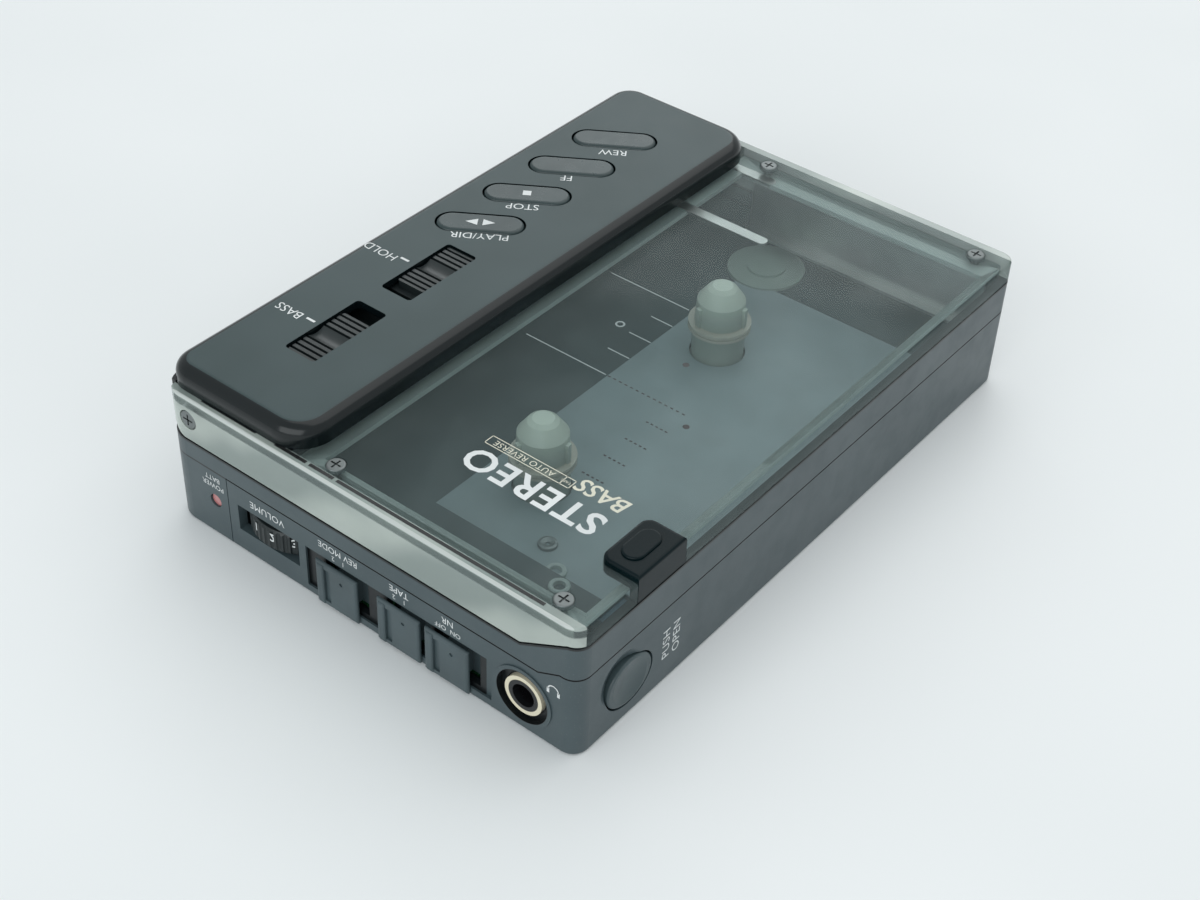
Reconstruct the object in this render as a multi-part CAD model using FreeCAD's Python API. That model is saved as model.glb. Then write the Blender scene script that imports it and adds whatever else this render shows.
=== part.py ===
"""Pocket cassette player: a clear-lidded door with a control strip over a slim two-part case.

Frame, in millimetres: origin under the middle of the case, +Z up out of the lid, +X along the
long side, +Y along the short side towards the hinge. The socket and the slide switches are on
the -X end, and the oval opening button is on the -Y side.
"""

import FreeCAD, Part

import math
import os

from FreeCAD import Vector

# Overall sizes
inner_length = 104.0
inner_width = 72.0
lid_top = 23.0
strip_rise = 3.5
front_corner = 2.5
back_corner = 4.0
wall = 1.5
floor_thick = 1.2
bottom_round = 0.5

# Joints between the shells: heights of the rear seam and of the lid's gap
seam_low = 12.1
seam_high = 13.8
seam_gap = 0.15
lid_gap_low = 15.4
lid_gap_high = 19.5
lid_gap = 0.3
bend_inner = 9.5
bend_outer = 2.0
seam_bend_inner = 6.5
seam_bend_outer = 3.0
back_block = 12.0

# The standard cassette that the bay takes
cassette_length = 100.4
reel_pitch = 42.5
hub_to_closed_edge = 29.3
hub_to_open_edge = 34.5
cassette_bottom = 10.9
bay_front_gap = 1.1
reel_centre_x = -0.95

# Clearances
running = 0.05
sliding = 0.1
clear = 0.3
press_room = 0.15

# Door, hinge and lid
hinge_inset = 5.3
hinge_z = 19.1
door_open = 50.0
lug_radius = 3.7
lid_thick = 1.5
frame_thick = 0.8
window_left = 4.5
window_right = 6.2
window_front = 1.2
leaf_width = 1.9
leaf_thick = 0.35
leaf_places = ((20.5, 15.4), (5.3, 6.5))
rail_sheet = 0.5
rail_lip = 2.1
screw_head = 1.4
screw_shank = 0.7
screw_inset = 3.45
hinge_shank = 0.8
hinge_head = 1.5
ear_radius = 2.2
ear_back = 1.5
spine_drop = 2.2
spine_room = 0.15

# Control strip
strip_depth = 26.8
strip_corner = 5.5
strip_round = 2.0
strip_left = 1.1
strip_right = 2.3
cover_thick = 1.3
button_length = 13.5
button_width = 5.0
button_tilt = -56.2
button_pitch = 10.97
button_travel = 0.7
dome_rise = 2.0
flange_thick = 0.55
button_crown = 0.2
button_names = ("rew_button", "ff_button", "stop_button", "play_button")
first_button_x = 34.7
button_from_back = 10.4
slot_length = 14.7
slot_width = 5.7
slot_from_back = 13.35
hold_slot_x = -12.85
bass_slot_x = -32.1
knob_length = 11.2
knob_travel = 3.0
finger_flange = 1.0

# Deck, chassis and mechanism levels
deck_top = 8.0
deck_thick = 0.7
raised_top = 10.0
raised_thick = 0.6
raised_edge = 17.1
plate_thick = 0.8
gear_low = 4.75
gear_high = 5.75
flywheel_low = 2.1
flywheel_high = 4.4
flywheel_radius = 10.5
belt_low = 2.35
belt_size = 0.7
belt_room = 0.06
capstan_radius = 1.0
capstan_from_open_edge = 4.7
capstan_pitch = 43.0
capstan_top = 17.6
bush_radius = 1.8
motor_radius = 10.0
motor_low = 3.4
motor_from_reel_x = 20.2
motor_from_reel_y = -11.4
pulley_radius = 1.9
gear_module = 0.4
pinion_teeth = 10
idler_teeth = 56
reel_teeth = 40
pin_radius = 0.75

# Spindles
spindle_tip = 20.5
spindle_base_radius = 4.1
spindle_base_top = 12.9
collar_radius = 4.9
collar_top = 14.1
barrel_radius = 3.95
neck_radius = 3.75
dome_start = 18.0
dome_flat = 2.3

# Head and pinch rollers
roller_radius = 2.8
roller_low = 12.5
roller_high = 18.0
roller_lift = 2.95
arm_reach = 10.0
arm_drop = 1.5
arm_low = 10.3
arm_thick = 0.8
head_width = 11.0
head_depth = 4.4
head_behind_edge = 4.7
head_low = 11.6
head_high = 18.6

# The -X end: socket, lamp, volume wheel and three slide switches
socket_y = 8.9
socket_z = 6.0
socket_bore = 1.8
socket_collar = 3.1
socket_recess = 4.25
socket_rim = 4.85
socket_rim_proud = 0.2
socket_body = 3.2
socket_depth = 12.3
lamp_inset = 9.3
lamp_z = 6.6
lamp_radius = 1.0
wheel_y = 17.65
wheel_radius = 8.2
wheel_low = 4.4
wheel_high = 8.0
wheel_proud = 0.5
wheel_slot_half = 5.95
wheel_slot_low = 4.0
wheel_slot_high = 8.5
wheel_knurls = 48
recess_back_y = 10.3
recess_front_y = -23.3
recess_low = 1.5
recess_high = 8.7
recess_deep = 0.5
knob_edges = (8.0, -3.4, -12.0)
end_knob_width = 7.7
end_knob_low = 0.5
end_knob_high = 8.1
end_knob_plate = 0.5
end_knob_ridge = 0.25
end_knob_names = ("mode_knob", "tape_knob", "noise_knob")

# The opening button and its catch
open_x = 10.8
open_z = 6.3
open_long = 9.3
open_high = 7.8
open_room = 0.25
open_cap = 1.3
tab_left = 11.5
tab_right = 21.5
tab_deep = 6.4
tab_proud = 1.0
hook_sheet = 0.6
hook_bottom = 8.6
barb = 0.9
hook_relief = 0.8

# Battery and boards
cell_length = 67.0
cell_width = 17.0
cell_thick = 5.9
cell_left = 16.0
cell_front = 5.0
cover_hinge_z = 0.7
board_thick = 0.6

# Edges and places that follow from the sizes above
inner_x0, inner_x1 = -inner_length / 2, inner_length / 2
inner_y0, inner_y1 = -inner_width / 2, inner_width / 2
x0, x1 = inner_x0 - wall, inner_x1 + wall
y0, y1 = inner_y0 - wall, inner_y1 + wall
reel_y = inner_y0 + bay_front_gap + hub_to_closed_edge
reel_x = (reel_centre_x - reel_pitch / 2, reel_centre_x + reel_pitch / 2)
open_edge_y = reel_y + hub_to_open_edge
capstan_y = open_edge_y - capstan_from_open_edge
capstan_x = (reel_centre_x - capstan_pitch / 2, reel_centre_x + capstan_pitch / 2)
hinge_y = y1 - hinge_inset
lid_under = lid_top - lid_thick
strip_top = lid_top + strip_rise
strip_y0 = y1 - strip_depth
strip_x0, strip_x1 = x0 + strip_left, x1 - strip_right
split_y = y1 - back_block
body_edge_low = lid_gap_low - lid_gap / 2
body_edge_high = lid_gap_high - lid_gap / 2
door_edge_low = lid_gap_low + lid_gap / 2
door_edge_high = lid_gap_high + lid_gap / 2
deck_under = deck_top - deck_thick
plate_top = deck_under
plate_low = plate_top - plate_thick
board_low = floor_thick
board_top = board_low + board_thick
case_screw_places = (
    (x0 + 12.0, reel_y - 4.4), (x0 + 12.0, reel_y + 10.6),
    (x1 - 5.0, reel_y - 1.4), (x1 - 5.0, capstan_y - 2.0),
)
flange_low = lid_under + dome_rise + button_travel + sliding
motor_x, motor_y = reel_x[1] + motor_from_reel_x, reel_y + motor_from_reel_y
pad_x, pad_y = x1 - 9.6, reel_y + 7.1
pad_radius = 6.4


def box(xa, xb, ya, yb, za, zb):
    return Part.makeBox(xb - xa, yb - ya, zb - za, Vector(xa, ya, za))


def cyl(radius, x, y, za, zb):
    return Part.makeCylinder(radius, zb - za, Vector(x, y, za))


def cyl_x(radius, xa, xb, y, z):
    return Part.makeCylinder(radius, xb - xa, Vector(xa, y, z), Vector(1, 0, 0))


def cyl_y(radius, ya, yb, x, z):
    return Part.makeCylinder(radius, yb - ya, Vector(x, ya, z), Vector(0, 1, 0))


def ring(outer, inner, x, y, za, zb):
    return cyl(outer, x, y, za, zb).cut(cyl(inner, x, y, za - 1, zb + 1))


def plan(xa, xb, ya, yb, za, zb, front, back):
    """An upright block whose two front and two back corners are rounded."""
    block = box(xa, xb, ya, yb, za, zb)
    middle = (ya + yb) / 2
    for radius, is_back in ((front, False), (back, True)):
        if radius > 0:
            edges = [e for e in upright_edges(block, za, zb) if (e.CenterOfMass.y > middle) == is_back]
            block = block.makeFillet(radius, edges)
    return block


def upright_edges(shape, za, zb):
    """The straight corner edges that run the whole height of a block."""
    found = []
    for edge in shape.Edges:
        low, high = edge.BoundBox.ZMin, edge.BoundBox.ZMax
        straight = edge.BoundBox.XLength < 1e-6 and edge.BoundBox.YLength < 1e-6
        sharp = isinstance(edge.Curve, Part.Line) and edge.Vertexes[0].Point.distanceToPoint(
            edge.Vertexes[-1].Point) > 0.99 * (zb - za)
        if straight and sharp and low < za + 0.01 and high > zb - 0.01 and is_corner(edge, shape):
            found.append(edge)
    return found


def is_corner(edge, shape):
    """True when the edge lies on both a side and an end of the shape's box."""
    box_all = shape.BoundBox
    x, y = edge.CenterOfMass.x, edge.CenterOfMass.y
    on_x = min(abs(x - box_all.XMin), abs(x - box_all.XMax)) < 1e-4
    on_y = min(abs(y - box_all.YMin), abs(y - box_all.YMax)) < 1e-4
    return on_x and on_y


def edges_at(shape, z):
    """Every edge that lies wholly at one height."""
    return [e for e in shape.Edges if abs(e.BoundBox.ZMin - z) < 1e-4 and abs(e.BoundBox.ZMax - z) < 1e-4]


def slab(points, xa, xb):
    """A solid between two X stations with an outline given in Y and Z."""
    wire = Part.makePolygon([Vector(xa, y, z) for y, z in points] + [Vector(xa, *points[0])])
    return Part.Face(wire).extrude(Vector(xb - xa, 0, 0))


def stadium(x, y, long, wide, turn, za, zb):
    """An upright block with a round-ended outline, turned about its own centre."""
    half = (long - wide) / 2
    shape = box(-half, half, -wide / 2, wide / 2, za, zb)
    shape = shape.fuse(cyl(wide / 2, -half, 0, za, zb)).fuse(cyl(wide / 2, half, 0, za, zb)).removeSplitter()
    shape.rotate(Vector(0, 0, 0), Vector(0, 0, 1), turn)
    shape.translate(Vector(x, y, 0))
    return shape


def below(low, high, inner, outer, reach=60.0):
    """The space under a joint line that runs low along the ends and steps up to the front."""
    points = [
        (y0 - reach, -reach), (y1 + reach, -reach), (y1 + reach, low),
        (y0 + inner, low), (y0 + outer, high), (y0 - reach, high),
    ]
    return slab(points, x0 - reach, x1 + reach)


def fuse_all(shapes):
    whole = shapes[0]
    for shape in shapes[1:]:
        whole = whole.fuse(shape)
    return whole.removeSplitter()


def cut_all(shape, tools):
    for tool in tools:
        shape = shape.cut(tool)
    return shape


def gear(x, y, teeth, low, high, phase, bore):
    """A spur gear with flat-sided teeth, thinned for backlash."""
    pitch = gear_module * teeth / 2
    root = pitch - 1.15 * gear_module
    tip = pitch + 0.75 * gear_module
    step = 360.0 / teeth
    points = []
    for tooth in range(teeth):
        centre = phase + tooth * step
        for radius, part_step in ((root, -0.34), (tip, -0.13), (tip, 0.13), (root, 0.34)):
            angle = math.radians(centre + part_step * step)
            points.append(Vector(x + radius * math.cos(angle), y + radius * math.sin(angle), low))
    wheel = Part.Face(Part.makePolygon(points + [points[0]])).extrude(Vector(0, 0, high - low))
    return wheel.cut(cyl(bore, x, y, low - 1, high + 1))


def loop_round(circles, grow, low, high):
    """The block inside a belt line drawn round several circles, given anticlockwise."""
    normals = []
    for i, (ax, ay, ar) in enumerate(circles):
        bx, by, br = circles[(i + 1) % len(circles)]
        run = math.atan2(by - ay, bx - ax)
        normals.append(run - math.acos((ar - br) / math.hypot(bx - ax, by - ay)))
    edges = []
    for i, (x, y, radius) in enumerate(circles):
        start, end = normals[i - 1], normals[i]
        while end < start:
            end += 2 * math.pi
        radius += grow
        arc = [
            Vector(x + radius * math.cos(a), y + radius * math.sin(a), low)
            for a in (start, (start + end) / 2, end)
        ]
        if edges:
            edges.append(Part.makeLine(last, arc[0]))
        else:
            first = arc[0]
        edges.append(Part.Arc(*arc).toShape())
        last = arc[2]
    edges.append(Part.makeLine(last, first))
    return Part.Face(Part.Wire(edges)).extrude(Vector(0, 0, high - low))


# ---------------------------------------------------------------- case and frame

def case_shell():
    """Rear case and middle frame as one shell, before they are parted at the seam."""
    outer = plan(x0, x1, y0, y1, 0, lid_top, front_corner, back_corner)
    outer = outer.makeFillet(bottom_round, edges_at(outer, 0))
    inner = plan(inner_x0, inner_x1, inner_y0, inner_y1, floor_thick, lid_top + 1,
                 front_corner - wall, back_corner - wall)
    edge = below(body_edge_low, body_edge_high, bend_inner, bend_outer)
    back = box(inner_x0 + clear, inner_x1 - clear, inner_y1 - 1, y1 + 1, body_edge_low - 1, hinge_z)
    shell = outer.cut(inner).common(edge.fuse(back))
    # the back wall is hollowed where the door's spine swings, the front wall where its hook does
    sweep = math.hypot(hinge_inset, spine_drop) + spine_room
    shell = shell.cut(cyl_x(sweep, inner_x0 + clear, inner_x1 - clear, hinge_y, hinge_z))
    shell = shell.cut(open_door_space())
    relief = box(hook_x0() - 0.8, hook_x1() + 0.8, inner_y0 - hook_relief, inner_y0 + 1,
                 hook_bottom - 1, lid_top)
    return shell.cut(relief)


def open_door_space():
    """Above the slope that the back of the wide-open door lies along."""
    angle = math.radians(door_open)
    outline = []
    for dy in (hinge_inset - 2.5, hinge_inset + 2.0):
        dz = (dy * math.cos(angle) - hinge_inset - spine_room) / math.sin(angle)
        outline.append((hinge_y + dy, hinge_z + dz))
    outline += [(hinge_y + hinge_inset + 2.0, strip_top), (hinge_y + hinge_inset - 2.5, strip_top)]
    return slab(outline, inner_x0 + clear, inner_x1 - clear)


def tray_region(grow=0.0):
    """The space that the rear case fills: below the seam and in front of the back block."""
    low = below(seam_low + grow, seam_high + grow, seam_bend_inner, seam_bend_outer)
    return low.common(box(x0 - 9, x1 + 9, y0 - 9, split_y + grow, -9, lid_top))


def rear_case():
    shape = case_shell().common(tray_region(-seam_gap / 2))
    tools = []
    # socket recess, with the hole that the socket's nose fills
    tools.append(cyl_x(socket_recess, x0 - 1, x0 + 0.9, y0 + socket_y, socket_z))
    tools.append(cyl_x(socket_body + sliding, x0 - 1, inner_x0 + 1, y0 + socket_y, socket_z))
    # volume slot
    tools.append(box(x0 - 1, inner_x0 + 1, wheel_y - wheel_slot_half, wheel_y + wheel_slot_half,
                     wheel_slot_low, wheel_slot_high))
    # shallow recess of the slide switches, and one slot for each shank
    tools.append(box(x0 - 1, x0 + recess_deep, recess_front_y, recess_back_y, recess_low, recess_high))
    for edge in knob_edges:
        tools.append(box(x0 - 1, inner_x0 + 1, edge - end_knob_width - 1.3, edge - 1.1,
                         recess_low + 0.7, recess_high))
    # oval hole of the opening button and the finger scoop beside it
    tools.append(open_oval(open_room, y0 - 1, inner_y0 + 1))
    scoop = Part.makeSphere(9.0, Vector(x0 + open_x - 1.8, y0 - 7.9, open_z + 1.9))
    tools.append(scoop)
    # battery opening
    tools.append(box(cell_x0() - 0.5, cell_x1() + 0.5, y0 + 2.4, cell_y1() + 0.8, -1, floor_thick + 1))
    pin_y = cover_pin_y()
    tools.append(box(cell_x0() - 1.6, cell_x1() + 1.6, pin_y - 0.55, pin_y + 0.55, 0.15, floor_thick + 1))
    for x, y in case_screw_places:
        tools.append(cyl(screw_shank, x, y, -1, floor_thick + 1))
        tools.append(cyl(screw_head + sliding, x, y, -1, 0.75))
    shape = cut_all(shape, tools)
    rim = cyl_x(socket_rim, x0 - socket_rim_proud, x0 + 0.5, y0 + socket_y, socket_z)
    rim = rim.cut(cyl_x(socket_recess, x0 - 1, x0 + 1, y0 + socket_y, socket_z))
    return shape.fuse(rim).removeSplitter()


def open_oval(grow, ya, yb):
    """The opening button's oval outline, run along Y."""
    long, high = open_long + 2 * grow, open_high + 2 * grow
    disc = Part.Face(Part.Wire(Part.Ellipse(Vector(0, 0, 0), long / 2, high / 2).toShape()))
    shape = disc.extrude(Vector(0, 0, yb - ya))
    shape.rotate(Vector(0, 0, 0), Vector(1, 0, 0), -90)
    shape.translate(Vector(x0 + open_x, ya, open_z))
    return shape


def mid_frame():
    shape = case_shell().cut(tray_region(seam_gap / 2))
    return shape.cut(cyl_x(lamp_radius + sliding, x0 - 1, inner_x0 + 1, y1 - lamp_inset, lamp_z))


# ---------------------------------------------------------------- deck and chassis

def deck():
    """The floor of the cassette bay, raised over the end that holds the switches."""
    raised_x1 = x0 + raised_edge
    front, back = inner_y0, inner_y1
    low_plate = box(raised_x1 - raised_thick, inner_x1, front, back, deck_under, deck_top)
    step = box(raised_x1 - raised_thick, raised_x1, front, back, deck_under, raised_top)
    high_plate = box(inner_x0, raised_x1, front, back, raised_top - raised_thick, raised_top)
    bosses = []
    for x, y in case_screw_places:
        under = raised_top - raised_thick if x < raised_x1 else deck_under
        bosses.append(cyl(1.9, x, y, floor_thick, under + 0.2))
    shape = fuse_all([low_plate, step, high_plate] + bosses)
    corner = plan(inner_x0, inner_x1, front, back, 0, lid_top, front_corner - wall, back_corner - wall)
    shape = shape.common(corner)
    tools = [cyl(screw_shank, x, y, 0, 5.2) for x, y in case_screw_places]
    for x in reel_x:
        tools.append(cyl(spindle_base_radius + clear, x, reel_y, 0, lid_top))
    for x in capstan_x:
        tools.append(cyl(bush_radius + sliding, x, capstan_y, 0, lid_top))
    # catch opening, beside the front wall
    tools.append(box(x0 + 4.6, hook_x1() + 1.5, y0, catch_back(), deck_under - 1, raised_top + 1))
    return cut_all(shape, tools)


def deck_liner():
    """A thin grey sheet that lines the bay's floor round the spindles."""
    shape = box(x0 + raised_edge, x1 - 14.1, y0 + 3.2, reel_y + 8.8, deck_top, deck_top + 0.25)
    tools = [cyl(spindle_base_radius + clear, x, reel_y, 0, lid_top) for x in reel_x]
    tools.append(box(x0, hook_x1() + 1.5, y0, catch_back(), deck_top - 1, lid_top))
    tools.append(cyl(pad_radius + sliding, pad_x, pad_y, deck_top - 1, lid_top))
    return cut_all(shape, tools)


def cassette_pad():
    pad = cyl(pad_radius, pad_x, pad_y, deck_top, deck_top + 0.5)
    knob = cyl(pad_radius / 2, pad_x, pad_y, deck_top + 0.5, deck_top + 0.9)
    return pad.fuse(knob).removeSplitter()


def idler_place():
    """Where the idler meshes with both the capstan's pinion and the reel gear."""
    to_pinion = gear_module * (pinion_teeth + idler_teeth) / 2
    to_reel = gear_module * (reel_teeth + idler_teeth) / 2
    dx, dy = reel_x[1] - capstan_x[1], reel_y - capstan_y
    apart = math.hypot(dx, dy)
    along = (to_pinion ** 2 - to_reel ** 2 + apart ** 2) / (2 * apart)
    aside = math.sqrt(to_pinion ** 2 - along ** 2)
    ux, uy = dx / apart, dy / apart
    return capstan_x[1] + ux * along - uy * aside, capstan_y + uy * along + ux * aside


def chassis_plate():
    shape = plan(x0 + 18.0, x1 - 9.5, reel_y - 8.5, inner_y1 - 2.0, plate_low, plate_top, 2.0, 2.0)
    tools = [cyl(spindle_base_radius + clear, x, reel_y, 0, lid_top) for x in reel_x]
    tools += [cyl(bush_radius, x, capstan_y, 0, lid_top) for x in capstan_x]
    tools.append(cyl(motor_radius + clear, motor_x, motor_y, 0, lid_top))
    for x, y in case_screw_places:
        tools.append(cyl(2.2, x, y, 0, lid_top))
    idler_x, idler_y = idler_place()
    tools.append(cyl(pin_radius, idler_x, idler_y, 0, lid_top))
    return cut_all(shape, tools)


def capstan_bushes():
    return Part.Compound([
        ring(bush_radius, capstan_radius + running, x, capstan_y, plate_low - 0.3, deck_top + 0.8)
        for x in capstan_x
    ])


def pivot_pins():
    """Fixed steel pins: one up through each spindle, the idler's stub and the two arm pivots."""
    pins = [cyl(pin_radius, x, reel_y, floor_thick, spindle_base_top + 2.0) for x in reel_x]
    idler_x, idler_y = idler_place()
    pins.append(cyl(pin_radius, idler_x, idler_y, gear_low - 0.2, plate_top))
    for side in (0, 1):
        x, y = arm_pivot(side)
        pins.append(cyl(pin_radius, x, y, deck_top, arm_low + arm_thick + 0.6))
    return Part.Compound(pins)


def main_board():
    """The L-shaped circuit board that lies on the case floor."""
    end = box(inner_x0 + 0.6, x0 + 14.6, y0 + 5.5, wheel_y + 6.5, board_low, board_top)
    middle = box(x0 + 14.0, x1 - 20.0, cell_y1() + 1.2, capstan_y - flywheel_radius - 0.8,
                 board_low, board_top)
    shape = end.fuse(middle).removeSplitter()
    tools = [cyl(1.9 + clear, x, y, 0, lid_top) for x, y in case_screw_places]
    tools += [cyl(pin_radius + clear, x, reel_y, 0, lid_top) for x in reel_x]
    return cut_all(shape, tools)


def battery_span():
    """Where the flat cell lies: beside the catch and behind the front wall."""
    left, front = x0 + cell_left, y0 + cell_front
    return left, left + cell_length, front, front + cell_width


def cell_x0():
    return battery_span()[0]


def cell_x1():
    return battery_span()[1]


def cell_y1():
    return battery_span()[3]


def cover_pin_y():
    return y0 + 3.4


def battery_cell():
    left, right, front, back = battery_span()
    low = floor_thick + 0.1
    cell = box(left + 0.1, right - 0.8, front, back, low, low + cell_thick)
    edges = [e for e in cell.Edges if e.BoundBox.YLength < 1e-6 and e.BoundBox.ZLength < 1e-6]
    cell = cell.makeFillet(1.5, edges)
    button = box(right - 0.8, right - 0.2, front + 6, back - 6, low + 1.8, low + cell_thick - 1.8)
    return cell.fuse(button).removeSplitter()


def battery_contacts():
    """A bent strip at each end of the cell, standing on the floor beside the battery opening."""
    left, right, front, back = battery_span()
    ya, yb = front + 5.5, back - 5.5
    minus = box(left - 1.1, left - 0.6, ya, yb, floor_thick, 6.6)
    minus = minus.fuse(box(left - 0.9, left + 0.1, ya, yb, 3.4, 5.2))
    plus = box(right + 0.6, right + 1.1, ya, yb, floor_thick, 6.6)
    plus = plus.fuse(box(right - 0.2, right + 0.9, ya, yb, 3.4, 5.2))
    return Part.Compound([minus.removeSplitter(), plus.removeSplitter()])


def battery_cover():
    """The flush door under the cell, with a pin at each end of its front edge."""
    left, right, front, back = battery_span()
    pin_y = cover_pin_y()
    plate = box(left - 0.3, right + 0.3, y0 + 2.6, back + 0.6, 0.0, floor_thick - 0.1)
    nose = box(left - 0.3, right + 0.3, y0 + 2.0, pin_y, -1, floor_thick + 1)
    plate = plate.cut(nose)
    barrel = cyl_x(cover_hinge_z, left - 0.3, right + 0.3, pin_y, cover_hinge_z)
    pins = cyl_x(0.45, left - 1.4, right + 1.4, pin_y, cover_hinge_z)
    grip = box((left + right) / 2 - 6, (left + right) / 2 + 6, back - 1.6, back - 1.1, -1, 0.4)
    return fuse_all([plate, barrel, pins]).cut(grip)


# ---------------------------------------------------------------- the -X end

def jack_socket():
    y = y0 + socket_y
    body = cyl_x(socket_body, x0 + 0.95, x0 + socket_depth, y, socket_z)
    foot = box(inner_x0 + 0.8, x0 + socket_depth, y - 1.6, y + 1.6, board_top, socket_z - socket_bore - 0.4)
    bore = cyl_x(socket_bore, x0 - 1, x0 + socket_depth - 1.0, y, socket_z)
    return body.fuse(foot).removeSplitter().cut(bore)


def jack_collar():
    y = y0 + socket_y
    collar = cyl_x(socket_collar, x0 + 0.1, x0 + 0.95, y, socket_z)
    return collar.cut(cyl_x(socket_bore, x0 - 1, x0 + 2, y, socket_z))


def power_lamp():
    y = y1 - lamp_inset
    lens = cyl_x(lamp_radius, x0 + 0.3, inner_x0 + 0.4, y, lamp_z)
    return lens.fuse(box(inner_x0, inner_x0 + 2.6, y - 1.6, y + 1.6, lamp_z - 1.6, lamp_z + 1.6))


def end_switches():
    """The three switch bodies on the board, each with a slot for its knob's shank."""
    bodies = []
    for edge in knob_edges:
        middle = edge - end_knob_width / 2
        body = box(inner_x0 + 1.7, inner_x0 + 5.2, middle - 3.9, middle + 3.9, board_top, 7.6)
        slot = box(inner_x0 + 1, inner_x0 + 3.4, middle - 3.4, middle + 3.4, 4.0, 6.4)
        bodies.append(body.cut(slot))
    return Part.Compound(bodies)


def end_knob(edge):
    """A slide switch's outside plate, with a raised ridge, a groove and a dimple."""
    width_of = end_knob_width
    face = x0 - press_room
    front = face - end_knob_plate
    plate = box(front, face, edge - width_of, edge, end_knob_low, end_knob_high)
    plate = plate.makeFillet(0.4, [e for e in plate.Edges if abs(e.BoundBox.XMax - front) < 1e-4])
    ridge = box(front - end_knob_ridge, face - 0.2, edge - 1.7, edge - 0.5,
                end_knob_low + 0.3, end_knob_high - 0.3)
    ridge = ridge.makeFillet(0.3, [e for e in ridge.Edges
                                   if e.BoundBox.XMax < front - end_knob_ridge + 1e-4])
    groove = box(face - 2, front + 0.35, edge - 2.8, edge - 1.7, end_knob_low + 0.9, end_knob_high - 0.9)
    dot = cyl_x(0.3, face - 2, front + 0.25, edge - 4.9, end_knob_high - 1.9)
    plate = plate.cut(groove).cut(dot).fuse(ridge)
    shank = box(face - 0.3, inner_x0 + 0.6, edge - width_of + 1.0, edge - 3.4, 3.0, 7.4)
    tongue_mid = edge - width_of / 2
    flange = box(inner_x0 + 0.3, inner_x0 + 0.9, edge - width_of - 0.2, edge - 1.6, 2.6, 9.0)
    tongue = box(inner_x0 + 0.8, inner_x0 + 3.1, tongue_mid - 1.2, tongue_mid + 1.2, 4.3, 6.1)
    return fuse_all([plate, shank, flange, tongue])


def wheel_x():
    return x0 - wheel_proud + wheel_radius


def volume_wheel():
    disc = cyl(wheel_radius, wheel_x(), wheel_y, wheel_low, wheel_high)
    disc = disc.makeChamfer(0.35, edges_at(disc, wheel_high) + edges_at(disc, wheel_low))
    cuts = []
    for i in range(wheel_knurls):
        angle = 2 * math.pi * i / wheel_knurls
        x = wheel_x() + (wheel_radius + 0.15) * math.cos(angle)
        y = wheel_y + (wheel_radius + 0.15) * math.sin(angle)
        cuts.append(cyl(0.38, x, y, wheel_low - 1, wheel_high + 1))
    disc = disc.cut(Part.Compound(cuts))
    return disc.cut(cyl(1.5 + running, wheel_x(), wheel_y, 0, lid_top))


def volume_pot():
    """The potentiometer under the wheel: a body on the board and a post up through the wheel."""
    body = plan(wheel_x() - 4.5, wheel_x() + 4.5, wheel_y - 4.5, wheel_y + 4.5,
                board_top, wheel_low - 0.25, 1.0, 1.0)
    return body.fuse(cyl(1.5, wheel_x(), wheel_y, board_top, wheel_high + 0.3))


# ---------------------------------------------------------------- opening button and catch

def open_button():
    ya = y0 - 0.1
    cap = open_oval(0, ya, ya + open_cap)
    face = [e for e in cap.Edges if e.BoundBox.YMax < ya + 1e-4]
    cap = cap.makeFillet(0.35, face)
    dish = Part.makeSphere(14.0, Vector(x0 + open_x, ya - 13.55, open_z))
    cap = cap.cut(dish)
    flange = open_oval(0.8, inner_y0 + 0.2, inner_y0 + 0.7)
    neck = open_oval(-1.4, ya + 0.9, inner_y0 + 0.5)
    stem = box(x0 + open_x - 1.0, x0 + open_x + 1.0, inner_y0 + 0.5, slider_y0() - 0.05,
               open_z - 1.2, open_z + 1.2)
    return fuse_all([cap, flange, neck, stem])


def hook_x0():
    return x0 + tab_left + 4.5


def hook_x1():
    return x0 + tab_left + 8.5


def hook_y0():
    return inner_y0 + 0.4


def slider_y0():
    return hook_y0() + hook_sheet + barb + press_room


def catch_back():
    """How far back the deck is open behind the catch."""
    return slider_y0() + 5.8


def latch_slider():
    """The plate that the opening button pushes back, with a lip beside the hook's barb."""
    front = slider_y0()
    lip = box(x0 + open_x - 1.8, hook_x1() + 0.5, front, front + 1.6, 9.1, 9.7)
    leg = box(x0 + open_x - 1.5, x0 + open_x + 1.5, front, front + 0.6, open_z - 2.0, 9.4)
    post = box(hook_x0() - 1.2, hook_x0() + 0.6, front + 1.0, front + 1.6, 7.7, 9.2)
    return fuse_all([lip, leg, post])


def latch_spring():
    """A small coil behind the slider, made as a round wire wound on a helix."""
    radius, wire, turns, pitch = 0.55, 0.13, 4, 0.55
    helix = Part.makeHelix(pitch, pitch * turns, radius)
    profile = Part.Wire(Part.Circle(Vector(radius, 0, 0), Vector(0, 1, 0), wire).toShape())
    coil = Part.Wire(helix).makePipeShell([profile], True, True)
    coil.rotate(Vector(0, 0, 0), Vector(1, 0, 0), -90)
    coil.translate(Vector(hook_x0() - 0.3, slider_y0() + 1.6 + wire, 8.45))
    return coil


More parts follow.
